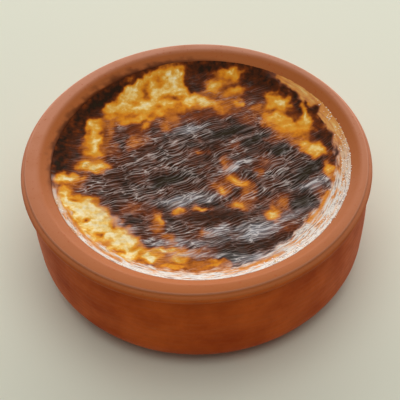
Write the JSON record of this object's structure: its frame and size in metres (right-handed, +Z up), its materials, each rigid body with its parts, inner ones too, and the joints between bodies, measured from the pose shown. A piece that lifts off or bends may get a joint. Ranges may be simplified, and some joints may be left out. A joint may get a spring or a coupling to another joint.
{
  "type": "baked rice pudding in a clay dish",
  "caption": "Oven-baked rice pudding with a dark, wrinkled milk skin, set in a round unglazed clay dish with a thick banded rim.",
  "frame": {"origin": "middle of the dish's flat base", "axes": "+Z up through the middle of the dish, +Y towards the far side of the dish as seen in the picture, +X towards the picture's right"},
  "size_m": [0.125, 0.125, 0.044],
  "materials": {
    "clay": "satin",
    "browned_skin": "glossy"
  },
  "bodies": {
    "root": {"bowl": "clay", "pudding": "browned_skin"}
  },
  "joints": []
}
